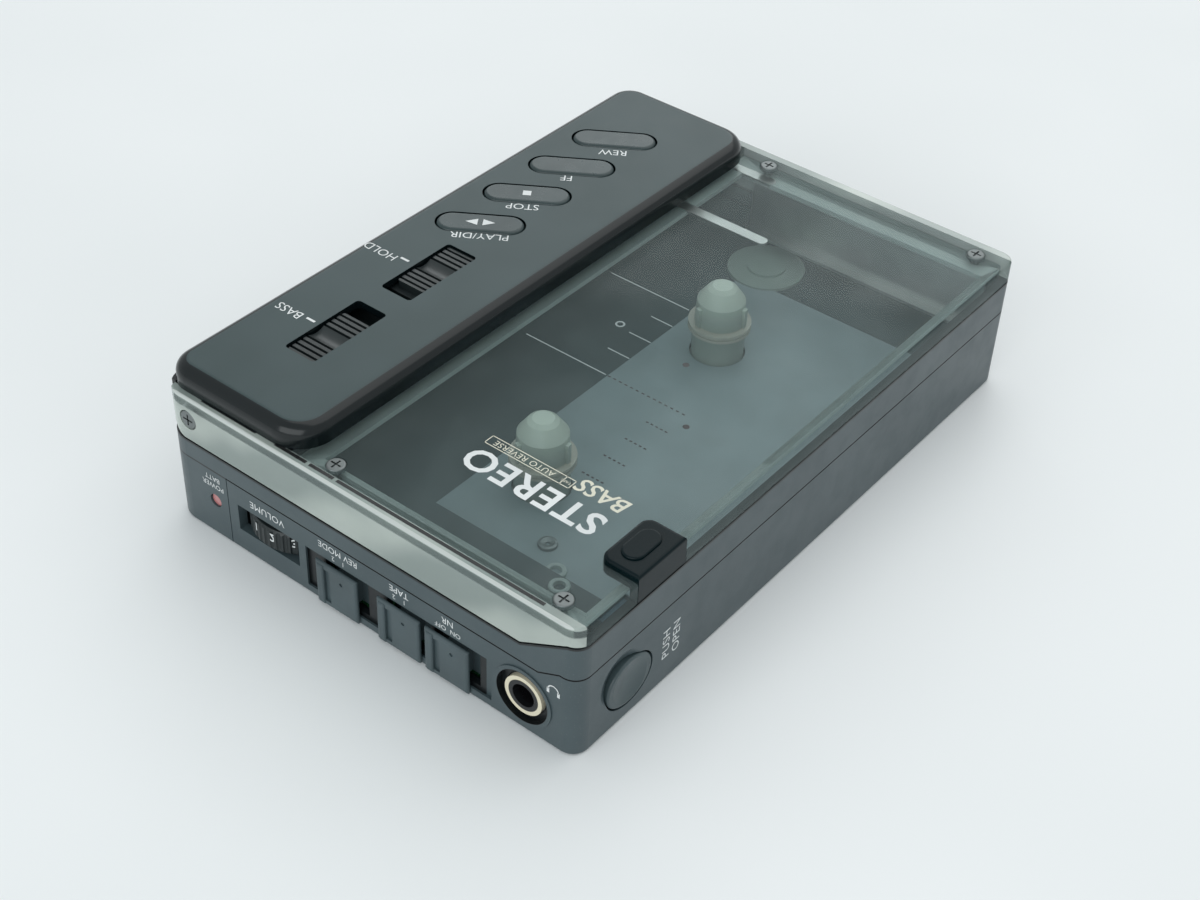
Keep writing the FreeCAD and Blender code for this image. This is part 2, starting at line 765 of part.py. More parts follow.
def latch_tab():
    """The black thumb tab let into the lid's front edge."""
    left, right, back = x0 + tab_left, x0 + tab_right, y0 + tab_deep
    top = plan(left, right, y0, back, lid_under, lid_top + tab_proud, 0.0, 1.6)
    skirt = box(left, right, y0, y0 + wall - 0.2, door_edge_high, lid_under + 1)
    shape = top.fuse(skirt).removeSplitter()
    shape = shape.makeFillet(0.5, edges_at(shape, lid_top + tab_proud))
    pad = stadium((left + right) / 2, (y0 + back) / 2 + 0.3, 6.4, 3.4, 0, lid_top, lid_top + tab_proud + 0.35)
    pad = pad.makeFillet(0.3, edges_at(pad, lid_top + tab_proud + 0.35))
    return shape.fuse(pad).removeSplitter()


def latch_hook():
    front = hook_y0()
    blade = box(hook_x0(), hook_x1(), front, front + hook_sheet, hook_bottom, lid_under)
    foot = box(hook_x0(), hook_x1(), front, front + 4.0, lid_under - hook_sheet, lid_under)
    catch = box(hook_x0(), hook_x1(), front, front + hook_sheet + barb, hook_bottom, hook_bottom + 0.4)
    return fuse_all([blade, foot, catch])


# ---------------------------------------------------------------- tape drive

def flywheel(side):
    x, y = capstan_x[side], capstan_y
    disc = cyl(flywheel_radius, x, y, flywheel_low, flywheel_high)
    groove = ring(flywheel_radius + 1, flywheel_radius - 0.5, x, y,
                  belt_low - 0.15, belt_low + belt_size + 0.15)
    dish = ring(flywheel_radius - 2.5, 3.5, x, y, flywheel_high - 0.6, flywheel_high + 1)
    disc = disc.cut(groove).cut(dish)
    if side == 1:
        pinion = gear(x, y, pinion_teeth, flywheel_high - 0.2, gear_high + 0.1, pinion_phase(),
                      capstan_radius)
        disc = disc.fuse(pinion)
    return disc.cut(cyl(capstan_radius, x, y, 0, lid_top))


def capstan(side):
    return cyl(capstan_radius, capstan_x[side], capstan_y, flywheel_low - 0.5, capstan_top)


def pinion_phase():
    idler_x, idler_y = idler_place()
    return math.degrees(math.atan2(idler_y - capstan_y, idler_x - capstan_x[1]))


def idler_phase():
    return pinion_phase() + 180.0 + 180.0 / idler_teeth


def reel_phase():
    """The reel gear's turn that puts a gap opposite the idler's nearest tooth."""
    idler_x, idler_y = idler_place()
    line = math.degrees(math.atan2(reel_y - idler_y, reel_x[1] - idler_x))
    step = 360.0 / idler_teeth
    ahead = (idler_phase() - line) % step
    return line + 180.0 - ahead * idler_teeth / reel_teeth + 180.0 / reel_teeth


def idler_gear():
    x, y = idler_place()
    return gear(x, y, idler_teeth, gear_low, gear_high, idler_phase(), pin_radius + running)


def reel_gear(side):
    phase = reel_phase() if side == 1 else 0.0
    return gear(reel_x[side], reel_y, reel_teeth, gear_low, gear_high, phase, 2.4)


def spindle(side):
    """A turned, domed reel spindle with a ringed collar and three small driving ribs."""
    x, y = reel_x[side], reel_y
    outline = [
        (pin_radius + running, gear_low - 0.3), (2.4, gear_low - 0.3), (2.4, deck_under - 1.3),
        (spindle_base_radius - 0.9, deck_under - 1.3), (spindle_base_radius - 0.9, deck_under),
        (spindle_base_radius, deck_under), (spindle_base_radius, spindle_base_top),
        (collar_radius, spindle_base_top), (collar_radius, collar_top), (barrel_radius, collar_top),
        (neck_radius, dome_start), (dome_flat, spindle_tip - 0.5), (dome_flat - 0.7, spindle_tip),
        (0.0, spindle_tip), (0.0, spindle_base_top + 2.3), (pin_radius + running, spindle_base_top + 2.3),
    ]
    wire = Part.makePolygon([Vector(r, 0, z) for r, z in outline] + [Vector(outline[0][0], 0, outline[0][1])])
    shape = Part.Face(wire).revolve(Vector(0, 0, 0), Vector(0, 0, 1), 360)
    rib = box(barrel_radius - 0.9, barrel_radius + 0.35, -0.45, 0.45, collar_top - 0.2, dome_start - 0.6)
    for i in range(3):
        turned = rib.copy()
        turned.rotate(Vector(0, 0, 0), Vector(0, 0, 1), 120 * i + 40)
        shape = shape.fuse(turned)
    groove = ring(collar_radius + 1, collar_radius - 0.25, 0, 0,
                  spindle_base_top + 0.45, spindle_base_top + 0.7)
    shape = shape.cut(groove).removeSplitter()
    shape.translate(Vector(x, y, 0))
    return shape


def motor_can():
    can = cyl(motor_radius, motor_x, motor_y, motor_low, deck_under)
    can = can.makeFillet(0.5, edges_at(can, motor_low))
    return can.cut(cyl(0.5 + running, motor_x, motor_y, 0, deck_under - 0.6))


def motor_pulley():
    shaft = cyl(0.5, motor_x, motor_y, flywheel_low - 0.4, deck_under - 0.9)
    wheel = cyl(pulley_radius, motor_x, motor_y, flywheel_low, motor_low - 0.15)
    groove = ring(pulley_radius + 1, pulley_radius - 0.45, motor_x, motor_y,
                  belt_low - 0.12, belt_low + belt_size + 0.12)
    return wheel.cut(groove).fuse(shaft).removeSplitter()


def drive_belt():
    circles = [
        (motor_x, motor_y, pulley_radius - 0.45), (capstan_x[1], capstan_y, flywheel_radius - 0.5),
        (capstan_x[0], capstan_y, flywheel_radius - 0.5),
    ]
    top = belt_low + belt_size
    outer = loop_round(circles, belt_room + belt_size, belt_low, top)
    return outer.cut(loop_round(circles, belt_room, belt_low - 1, top + 1))


def arm_pivot(side):
    """Each pinch arm turns on a pin outside its capstan."""
    outward = -1 if side == 0 else 1
    return capstan_x[side] + outward * arm_reach, roller_rest_y() - arm_drop


def roller_rest_y():
    return capstan_y + capstan_radius + roller_radius + running + roller_lift


def pinch_arm(side):
    """A steel arm from its pivot pin to the axle that the rubber roller turns on."""
    px, py = arm_pivot(side)
    rx, ry = capstan_x[side], roller_rest_y()
    turn = math.degrees(math.atan2(ry - py, rx - px))
    long = math.hypot(rx - px, ry - py) + 4.0
    blade = stadium((px + rx) / 2, (py + ry) / 2, long, 4.0, turn, arm_low, arm_low + arm_thick)
    axle = cyl(pin_radius, rx, ry, arm_low, roller_high + 0.4)
    blade = blade.fuse(axle).removeSplitter()
    return blade.cut(cyl(pin_radius + running, px, py, 0, lid_top))


def pinch_roller(side):
    return ring(roller_radius, pin_radius + running, capstan_x[side], roller_rest_y(),
                roller_low, roller_high)


def head_carriage():
    """The sliding steel base that carries the tape head towards the cassette."""
    x, back = reel_centre_x, open_edge_y + head_behind_edge
    base = plan(x - 12.5, x + 12.5, back - 6.6, back + 0.4, deck_top + 0.3, deck_top + 1.1, 1.0, 1.0)
    riser = box(x - 4.5, x + 4.5, back - 0.9, back - 0.1, deck_top + 0.5, head_low - 0.2)
    shelf = box(x - 5.0, x + 5.0, back - 4.0, back - 0.1, head_low - 0.7, head_low)
    return fuse_all([base, riser, shelf])


def tape_head():
    x, back = reel_centre_x, open_edge_y + head_behind_edge
    block = box(x - head_width / 2, x + head_width / 2, back - head_depth, back, head_low, head_high)
    nose = [e for e in block.Edges if e.BoundBox.YMax < back - head_depth + 1e-4 and e.BoundBox.ZLength > 1]
    return block.makeFillet(1.6, nose)


# ---------------------------------------------------------------- door

def lid_panel():
    """The clear lid: top plate, front and end walls, and a round lug at each hinge screw."""
    outer = plan(x0, x1, y0, y1, door_edge_low - 1, lid_top, front_corner, back_corner)
    inner = plan(inner_x0, inner_x1, inner_y0, inner_y1, 0, lid_under,
                 front_corner - wall, back_corner - wall)
    outer = outer.makeFillet(0.35, edges_at(outer, lid_top))
    shape = outer.cut(inner).cut(below(door_edge_low, door_edge_high, bend_inner, bend_outer))
    lug_end = hinge_y + lug_radius - 0.1
    tools = [
        box(inner_x0, inner_x1, strip_y0 + 2.4, y1 + 1, 0, lid_top + 1),
        box(x0 - 1, x1 + 1, lug_end, y1 + 1, 0, lid_top + 1),
    ]
    # the lug is rounded about the hinge, so that it clears the frame as it swings
    corner = box(x0 - 1, x1 + 1, hinge_y, y1 + 1, door_edge_low - 2, hinge_z)
    tools.append(corner.cut(cyl_x(lug_radius, x0 - 2, x1 + 2, hinge_y, hinge_z)))
    # notch for the thumb tab
    tools.append(plan(x0 + tab_left - sliding, x0 + tab_right + sliding, y0 - 1, y0 + tab_deep + sliding,
                      door_edge_high - 2, lid_top + 2, 0.0, 1.7))
    for x, y in lid_screw_places():
        tools.append(cyl(screw_shank, x, y, lid_under - 1, lid_top + 1))
        tools.append(cyl(screw_head + sliding, x, y, lid_top - 0.6, lid_top + 1))
    for xa, xb in ((x0 - 1, x0 + 0.6), (x1 - 0.6, x1 + 1)):
        tools.append(cyl_x(hinge_head + sliding, xa, xb, hinge_y, hinge_z))
    tools.append(cyl_x(hinge_shank, x0 - 1, x1 + 1, hinge_y, hinge_z))
    return cut_all(shape, tools)


def lid_screw_places():
    back, front = strip_y0 - 3.9, y0 + 5.4
    return [(x, y) for x in (x0 + screw_inset, x1 - screw_inset) for y in (back, front)]


def cross_head(radius, thick):
    """A pan head lying on Z = 0, with a cross recess in its top."""
    head = cyl(radius, 0, 0, -thick, 0)
    head = head.makeFillet(thick * 0.45, edges_at(head, 0))
    for wide, deep in ((radius * 0.62, 0.14), (0.14, radius * 0.62)):
        head = head.cut(box(-wide, wide, -deep, deep, -0.3, 1))
    return head


def lid_screws():
    screws = []
    for x, y in lid_screw_places():
        head = cross_head(screw_head, 0.6)
        head.translate(Vector(x, y, lid_top + 0.05))
        screws.append(head.fuse(cyl(screw_shank, x, y, lid_under - frame_thick, lid_top - 0.5)))
    return screws


def hinge_screws():
    screws = []
    for side, x in ((-1, x0), (1, x1)):
        head = cross_head(hinge_head, 0.6)
        head.rotate(Vector(0, 0, 0), Vector(0, 1, 0), 90 * side)
        head.translate(Vector(x, hinge_y, hinge_z))
        inside = x - side * (wall + 1.4)
        shank = cyl_x(hinge_shank, min(x - side * 0.5, inside), max(x - side * 0.5, inside), hinge_y, hinge_z)
        screws.append(head.fuse(shank))
    return screws


def hinge_brackets():
    """Two steel ears that stand on the deck and carry the hinge screws."""
    ears = []
    for side in (-1, 1):
        outer = side * (x1 - wall - 0.25)
        inner = outer - side * 0.8
        xa, xb = min(outer, inner), max(outer, inner)
        base_z = raised_top if side < 0 else deck_top
        ear = cyl_x(ear_radius, xa, xb, hinge_y, hinge_z)
        ear = ear.fuse(box(xa, xb, hinge_y - ear_radius, hinge_y + ear_back, base_z, hinge_z))
        foot_a, foot_b = min(outer, outer - side * 4.0), max(outer, outer - side * 4.0)
        foot = box(foot_a, foot_b, hinge_y - ear_radius, hinge_y + ear_back, base_z, base_z + 0.8)
        ear = ear.fuse(foot).removeSplitter()
        ears.append(ear.cut(cyl_x(hinge_shank + running, xa - 1, xb + 1, hinge_y, hinge_z)))
    return Part.Compound(ears)


def door_frame():
    """The pale ring that the lid is screwed to, round the clear window."""
    top, low = lid_under, lid_under - frame_thick
    gap = sliding
    shape = plan(inner_x0 + gap, inner_x1 - gap, inner_y0 + gap, strip_y0 + 2.2, low, top,
                 front_corner - wall, 0.0)
    window = box(x0 + window_left, x1 - window_right, inner_y0 + window_front, strip_y0 - 0.7,
                 low - 1, top + 1)
    tools = [window]
    for x, y in lid_screw_places():
        tools.append(cyl(screw_shank, x, y, low - 1, top + 1))
    tools.append(box(hook_x0() - sliding, hook_x1() + sliding, y0, y0 + 6.5, low - 1, top + 1))
    for leaf in leaves(sliding):
        tools.append(leaf)
    return cut_all(shape, tools)


def leaves(grow):
    """The outline of each leaf spring under the lid, grown by a gap where one is needed."""
    made = []
    for inset, reach in leaf_places:
        x, half, back = x1 - inset, leaf_width / 2 + grow, strip_y0 + 2.2
        made.append(plan(x - half, x + half, strip_y0 - reach - grow, back + grow,
                         lid_under - leaf_thick - 4 * grow, lid_under, half - 0.05, 0.0))
    return made


def holder_rails():
    """The two folded steel rails that a cassette slides between."""
    low = cassette_bottom - press_room - rail_sheet
    top = lid_under - frame_thick
    back = reel_y + 14.6
    front = inner_y0 + window_front
    half = cassette_length / 2 + press_room
    rails = []
    for side in (-1, 1):
        face = reel_centre_x + side * half
        outer = face + side * rail_sheet
        tip = outer - side * rail_lip
        side_wall = box(min(face, outer), max(face, outer), front, back, low, top)
        lip = box(min(outer, tip), max(outer, tip), front + 4.0, back, low, low + rail_sheet)
        rails.append(side_wall.fuse(lip).removeSplitter())
    return Part.Compound(rails)


def hold_down_springs():
    """Two bright leaf springs under the lid that press a cassette onto the spindles."""
    return Part.Compound(leaves(0.0))


def cover_shell():
    """The strip's outer skin before its holes are cut."""
    top = plan(strip_x0, strip_x1, strip_y0, y1, lid_top, strip_top, strip_corner, back_corner)
    top = top.makeFillet(strip_round, edges_at(top, strip_top))
    hollow = plan(strip_x0 + cover_thick, strip_x1 - cover_thick, strip_y0 + cover_thick, y1 - cover_thick,
                  lid_top - 1, strip_top - cover_thick, strip_corner - cover_thick, back_corner - cover_thick)
    # the spine closes the back of the door and ends in a slant that clears the frame as it swings
    face = y1 - cover_thick - sliding
    outline = [(y1, hinge_z - spine_drop), (y1, lid_top), (face, lid_top), (face, hinge_z + clear)]
    spine = plan(x0, x1, y0, y1, 0, lid_top, front_corner, back_corner)
    spine = spine.common(slab(outline, inner_x0 + clear, inner_x1 - clear))
    return top.cut(hollow).fuse(spine).removeSplitter()


def button_place(index):
    return first_button_x - index * button_pitch, y1 - button_from_back


def slot_places():
    return ((hold_slot_x, y1 - slot_from_back), (bass_slot_x, y1 - slot_from_back))


def control_cover():
    tools = []
    for index in range(len(button_names)):
        x, y = button_place(index)
        tools.append(stadium(x, y, button_length + 0.5, button_width + 0.5, button_tilt,
                             lid_top, strip_top + 1))
    for x, y in slot_places():
        slot = plan(x - slot_length / 2, x + slot_length / 2, y - slot_width / 2, y + slot_width / 2,
                    lid_top, strip_top + 1, 0.6, 0.6)
        tools.append(slot)
    return cut_all(cover_shell(), tools)


def strip_button(index):
    x, y = button_place(index)
    top = strip_top + button_crown
    cap = stadium(x, y, button_length, button_width, button_tilt, flange_low + 0.3, top)
    cap = cap.makeFillet(0.6, edges_at(cap, top))
    flange = stadium(x, y, button_length + 1.6, button_width + 1.4, button_tilt,
                     flange_low, flange_low + flange_thick)
    return cap.fuse(flange).removeSplitter()


def slide_knob(x, y):
    """A ribbed thumb slide on a wide flange under the cover."""
    high = strip_top - 0.35
    block = plan(x - knob_length / 2, x + knob_length / 2, y - slot_width / 2 + 0.3, y + slot_width / 2 - 0.3,
                 flange_low + 0.1, high, 0.4, 0.4)
    cuts = []
    for side in (-1, 1):
        for i in range(4):
            centre = x + side * (1.75 + i * 1.05)
            cuts.append(box(centre - 0.22, centre + 0.22, y - slot_width, y + slot_width,
                            high - 0.45, high + 1))
    cuts.append(cyl_y(3.0, y - slot_width, y + slot_width, x, high + 2.55))
    flange = box(x - knob_length / 2 - finger_flange, x + knob_length / 2 + finger_flange,
                 y - slot_width / 2 - 0.6, y + slot_width / 2 + 0.6,
                 flange_low, flange_low + flange_thick)
    return cut_all(block, cuts).fuse(flange).removeSplitter()


def control_base():
    """The plate that closes the strip from below, inside the hinge brackets."""
    half = inner_x1 - 2.1
    shape = plan(-half, half, strip_y0 + 2.5, y1 - cover_thick - 0.3, lid_under, lid_under + 0.7, 1.0, 1.0)
    post_places = [(x, y) for x in (-half + 4, half - 4) for y in (y1 - 6, strip_y0 + 6)]
    posts = [cyl(1.3, x, y, lid_under, strip_top - cover_thick) for x, y in post_places]
    return fuse_all([shape] + posts)


def control_board():
    """The strip's circuit board, with one low dome contact under each button."""
    half = inner_x1 - 9.0
    board = box(-half, half, strip_y0 + 4.0, y1 - 4.0, lid_under + 0.7, lid_under + 1.3)
    domes = [
        cyl(2.2, *button_place(i), lid_under + 1.2, lid_under + dome_rise) for i in range(len(button_names))
    ]
    return fuse_all([board] + domes)


def case_screws():
    screws = []
    for x, y in case_screw_places:
        head = cross_head(screw_head, 0.6)
        head.rotate(Vector(0, 0, 0), Vector(1, 0, 0), 180)
        head.translate(Vector(x, y, 0.1))
        screws.append(head.fuse(cyl(screw_shank, x, y, 0.6, 5.0)))
    return Part.Compound(screws)


def build():
    nodes = {
        "rear_case": rear_case(),
        "mid_frame": mid_frame(),
        "deck": deck(),
        "deck_liner": deck_liner(),
        "cassette_pad": cassette_pad(),
        "chassis_plate": chassis_plate(),
        "capstan_bushes": capstan_bushes(),
        "pivot_pins": pivot_pins(),
        "main_board": main_board(),
        "end_switches": end_switches(),
        "volume_pot": volume_pot(),
        "volume_wheel": volume_wheel(),
        "jack_socket": jack_socket(),
        "jack_collar": jack_collar(),
        "power_lamp": power_lamp(),
        "battery_cell": battery_cell(),
        "battery_contacts": battery_contacts(),
        "battery_cover": battery_cover(),
        "case_screws": case_screws(),
        "open_button": open_button(),
        "latch_slider": latch_slider(),
        "latch_spring": latch_spring(),
        "motor_can": motor_can(),
        "motor_pulley": motor_pulley(),
        "drive_belt": drive_belt(),
        "idler_gear": idler_gear(),
        "head_carriage": head_carriage(),
        "tape_head": tape_head(),
        "hinge_brackets": hinge_brackets(),
        "lid_panel": lid_panel(),
        "door_frame": door_frame(),
        "holder_rails": holder_rails(),
        "hold_down_springs": hold_down_springs(),
        "door_screws": Part.Compound(lid_screws() + hinge_screws()),
        "latch_tab": latch_tab(),
        "latch_hook": latch_hook(),
        "control_cover": control_cover(),
        "control_base": control_base(),
        "control_board": control_board(),
    }
    for side, word in ((0, "left"), (1, "right")):
        nodes["flywheel_" + word] = flywheel(side)
        nodes["capstan_" + word] = capstan(side)
        nodes["spindle_" + word] = spindle(side)
        nodes["reel_gear_" + word] = reel_gear(side)
        nodes["pinch_arm_" + word] = pinch_arm(side)
        nodes["pinch_roller_" + word] = pinch_roller(side)
    for edge, name in zip(knob_edges, end_knob_names):
        nodes[name] = end_knob(edge)
    for index, name in enumerate(button_names):
        nodes[name] = strip_button(index)
    (hold_x, hold_y), (bass_x, bass_y) = slot_places()
    rest = knob_travel / 2
    nodes["hold_knob"] = slide_knob(hold_x + rest, hold_y)
    nodes["bass_knob"] = slide_knob(bass_x - rest, bass_y)
    return nodes


def export(nodes):
    os.makedirs("parts", exist_ok=True)
    for name, shape in nodes.items():
        solids = shape.Solids
        if not solids or not all(s.isValid() and s.isClosed() for s in solids):
            raise RuntimeError("bad solid in " + name)
        result = solids[0] if len(solids) == 1 else Part.Compound(solids)
        result.exportStep("parts/" + name + ".step")
        bounds = result.BoundBox
        print(f"{name:18s} {len(solids)} solids {result.Volume:9.1f} mm3  "
              f"X {bounds.XMin:7.2f} {bounds.XMax:7.2f}  Y {bounds.YMin:7.2f} {bounds.YMax:7.2f}  "
              f"Z {bounds.ZMin:6.2f} {bounds.ZMax:6.2f}")


export(build())
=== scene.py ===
"""Pocket cassette player: finishes, print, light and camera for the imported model."""

import math

import bmesh
import bpy
from mathutils import Matrix, Vector

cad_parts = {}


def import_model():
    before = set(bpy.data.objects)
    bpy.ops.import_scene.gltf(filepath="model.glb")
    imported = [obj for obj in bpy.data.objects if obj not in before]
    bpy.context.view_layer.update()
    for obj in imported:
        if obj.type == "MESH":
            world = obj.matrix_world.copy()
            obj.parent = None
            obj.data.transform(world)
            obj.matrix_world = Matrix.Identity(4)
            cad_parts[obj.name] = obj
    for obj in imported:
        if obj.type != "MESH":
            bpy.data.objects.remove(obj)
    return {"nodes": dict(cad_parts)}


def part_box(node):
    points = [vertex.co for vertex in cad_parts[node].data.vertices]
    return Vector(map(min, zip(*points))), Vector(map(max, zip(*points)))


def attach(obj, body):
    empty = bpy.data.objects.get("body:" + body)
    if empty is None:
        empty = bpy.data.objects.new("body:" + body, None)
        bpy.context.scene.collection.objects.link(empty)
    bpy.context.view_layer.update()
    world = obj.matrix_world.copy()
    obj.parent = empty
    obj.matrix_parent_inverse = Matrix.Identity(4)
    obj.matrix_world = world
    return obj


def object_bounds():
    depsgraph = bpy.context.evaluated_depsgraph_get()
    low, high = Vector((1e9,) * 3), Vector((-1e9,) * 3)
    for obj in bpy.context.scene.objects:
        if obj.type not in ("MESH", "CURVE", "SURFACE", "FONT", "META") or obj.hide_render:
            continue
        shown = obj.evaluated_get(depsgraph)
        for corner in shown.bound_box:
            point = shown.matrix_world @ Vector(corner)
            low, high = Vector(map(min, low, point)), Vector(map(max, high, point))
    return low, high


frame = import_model()
cad_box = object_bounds()
nodes = frame["nodes"]

MM = 0.001
SKIN = 0.03      # how far ink stands off its surface, in millimetres
CAPITAL = 0.69   # the height of a capital letter at a text size of one
LID_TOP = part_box("lid_panel")[1][2] / MM
STRIP_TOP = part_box("control_cover")[1][2] / MM
END_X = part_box("mid_frame")[0][0] / MM
FAR_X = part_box("mid_frame")[1][0] / MM
FRONT_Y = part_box("mid_frame")[0][1] / MM


# ---------------------------------------------------------------- shader maths

class Value:
    """A number inside a finish's node tree, so that masks can be written as plain sums."""

    def __init__(self, look, socket):
        self.look = look
        self.socket = socket

    def join(self, operation, *others):
        return self.look.sum(operation, self, *others)

    def __add__(self, other):
        return self.join("ADD", other)

    def __radd__(self, other):
        return self.join("ADD", other)

    def __sub__(self, other):
        return self.join("SUBTRACT", other)

    def __rsub__(self, other):
        return self.look.sum("SUBTRACT", other, self)

    def __mul__(self, other):
        return self.join("MULTIPLY", other)

    def __rmul__(self, other):
        return self.join("MULTIPLY", other)

    def over(self, low, high):
        """0 below low, 1 above high, and smooth between them; the other way round if low is higher."""
        node = self.look.node("ShaderNodeMapRange", {"interpolation_type": "SMOOTHSTEP"},
                              {"From Min": low, "From Max": high, "Value": self})
        return Value(self.look, node.outputs["Result"])

    def over_mm(self, low, high):
        return self.over(low * MM, high * MM)

    def largest(self, other):
        return self.join("MAXIMUM", other)

    def smallest(self, other):
        return self.join("MINIMUM", other)


class Finish:
    """One procedural material in the making."""

    def __init__(self, name):
        self.material = bpy.data.materials.new(name)
        self.material.use_nodes = True
        self.tree = self.material.node_tree
        self.shader = self.tree.nodes["Principled BSDF"]
        self.output = self.tree.nodes["Material Output"]
        self.place = self.node("ShaderNodeTexCoord").outputs["Object"]
        split = self.node("ShaderNodeSeparateXYZ", {}, {0: self.place})
        self.x, self.y, self.z = (Value(self, split.outputs[i]) for i in range(3))

    def fill(self, socket, item):
        """Give a socket a number, a colour or the output of another node."""
        if isinstance(item, Value):
            item = item.socket
        if isinstance(item, bpy.types.NodeSocket):
            self.tree.links.new(item, socket)
        elif isinstance(item, tuple) and socket.type == "RGBA":
            socket.default_value = (*item, 1.0)
        else:
            socket.default_value = item

    def node(self, kind, settings=None, sockets=None):
        """A new node: its settings are made first, then its sockets are filled."""
        node = self.tree.nodes.new(kind)
        for name, setting in (settings or {}).items():
            setattr(node, name, setting)
        for name, item in (sockets or {}).items():
            self.fill(node.inputs[name], item)
        return node

    def sum(self, operation, *items):
        node = self.node("ShaderNodeMath", {"operation": operation}, dict(enumerate(items)))
        return Value(self, node.outputs[0])

    def noise(self, size_mm, detail=3.0, stretch=None):
        place = self.place
        if stretch:
            place = self.node("ShaderNodeMapping", {}, {"Scale": stretch, "Vector": place}).outputs[0]
        node = self.node("ShaderNodeTexNoise", {},
                         {"Scale": 1.0 / (size_mm * MM), "Detail": detail, "Vector": place})
        return Value(self, node.outputs["Fac"])

    def spots(self, size_mm):
        node = self.node("ShaderNodeTexVoronoi", {}, {"Scale": 1.0 / (size_mm * MM), "Vector": self.place})
        return Value(self, node.outputs["Distance"])

    def mix(self, mask, dark, light):
        """The first colour where the mask is 0 and the second where it is 1."""
        return self.node("ShaderNodeMix", {"data_type": "RGBA"}, {6: dark, 7: light, 0: mask}).outputs[2]

    def feed(self, name, item):
        self.fill(self.shader.inputs[name], item)

    def bump(self, height, strength, depth_mm):
        node = self.node("ShaderNodeBump", {},
                         {"Strength": strength, "Distance": depth_mm * MM, "Height": height})
        self.feed("Normal", node.outputs["Normal"])

    def away_from(self, y, z):
        """The distance from a line that runs along the case at this place."""
        dy, dz = self.y - y, self.z - z
        return (dy * dy + dz * dz).join("SQRT")


def tint(colour, factor):
    return tuple(min(1.0, c * factor) for c in colour)


def plastic(name, colour, rough, grain_mm=0.12, grain=0.25, mottle=0.12, specular=0.5, coat=0.0):
    """Moulded or painted plastic: a fine grain, slow colour drift and handling marks."""
    look = Finish(name)
    drift = look.noise(9.0, 4.0).over(0.3, 0.7)
    pale, deep = tint(colour, 1.0 + mottle), tint(colour, 1.0 - mottle)
    look.feed("Base Color", look.mix(drift, deep, pale))
    marks = look.noise(2.5, 5.0).over(0.35, 0.75)
    look.feed("Roughness", marks * (0.22 * rough) + rough * 0.9)
    look.feed("Specular IOR Level", specular)
    look.feed("Coat Weight", coat)
    look.feed("Coat Roughness", 0.08)
    if grain > 0:
        look.bump(look.noise(grain_mm, 2.0), grain, 0.02)
    return look.material


def metal(name, colour, rough, stretch=(1.0, 1.0, 1.0), grain=0.12):
    """Bare metal with a drawn or turned grain and a little staining."""
    look = Finish(name)
    lines = look.noise(0.35, 3.0, stretch)
    stain = look.noise(5.0, 4.0).over(0.35, 0.75)
    look.feed("Base Color", look.mix(stain, tint(colour, 0.86), colour))
    look.feed("Metallic", 1.0)
    look.feed("Roughness", lines * 0.16 + rough)
    look.bump(lines, grain, 0.01)
    return look.material


# ---------------------------------------------------------------- finishes

def switch_pocket():
    """The two corners of the space that the three end switches take up."""
    spans = [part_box(name) for name in ("mode_knob", "tape_knob", "noise_knob")]
    low = [min(span[0][i] for span in spans) for i in range(3)]
    high = [max(span[1][i] for span in spans) for i in range(3)]
    return low, high


def middle_of(name):
    """The middle of a node's box."""
    low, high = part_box(name)
    return [(a + b) / 2 for a, b in zip(low, high)]


def stepped(look, back_y, front_y, low_z, high_z):
    """The height of a joint line that runs low and rises between two places near the front."""
    run = back_y - front_y
    rise = (look.y * (-1.0 / (run * MM)) + back_y / run).smallest(1.0).largest(0.0)
    return rise * ((high_z - low_z) * MM) + low_z * MM


def case_finish():
    """Satin charcoal paint with pale flecks and a fine dark seam line; painted shadow darkens the switch
    recess, the gap round the socket's ring and the lid's gap.
    """
    look = Finish("case_satin")
    drift = look.noise(14.0, 4.0).over(0.3, 0.7)
    base = look.mix(drift, (0.044, 0.066, 0.074), (0.056, 0.080, 0.088))
    fleck = look.noise(0.25, 2.0).over(0.62, 0.72) * 0.35
    painted = look.mix(fleck, base, (0.105, 0.130, 0.138))
    # painted shade: the recess that the three end switches stand in is drawn near black
    low, high = switch_pocket()
    recess_shade = look.x.over_mm(END_X + 0.25, END_X + 0.40) * look.x.over_mm(END_X + 2.0, END_X + 1.9)
    recess_shade = recess_shade * look.y.over(low[1] - 2.2 * MM, low[1] - 2.1 * MM)
    recess_shade = recess_shade * look.y.over(high[1] + 2.4 * MM, high[1] + 2.3 * MM)
    recess_shade = recess_shade * look.z.over_mm(1.4, 1.5) * look.z.over_mm(8.8, 8.7)
    # painted shade: the gap round the socket's ring is drawn near black
    ring = middle_of("jack_collar")
    socket_gap_shade = look.away_from(*ring[1:]).over_mm(4.32, 4.24) * look.x.over_mm(END_X + 3, END_X + 2)
    # painted shade: a near black band along the lid's gap, and the fine dark line of the seam below it
    lid_line = stepped(look, FRONT_Y + 9.5, FRONT_Y + 2.0, 15.25, 19.35)
    lid_gap_shade = (lid_line - look.z).over_mm(0.36, 0.28)
    seam_line = stepped(look, FRONT_Y + 6.5, FRONT_Y + 3.0, 12.1, 13.8)
    seam = (seam_line - look.z).join("ABSOLUTE").over_mm(0.17, 0.11)
    # painted shade in the recess and the two gaps, joined with the real seam line
    painted_shade_and_seam = recess_shade.largest(socket_gap_shade).largest(lid_gap_shade).largest(seam)
    look.feed("Base Color", look.mix(painted_shade_and_seam, painted, (0.004, 0.006, 0.007)))
    look.feed("Roughness", look.noise(3.0, 5.0).over(0.3, 0.8) * 0.10 + 0.33)
    look.feed("Specular IOR Level", 0.55)
    look.bump(look.noise(0.16, 2.0), 0.16, 0.02)
    return look.material


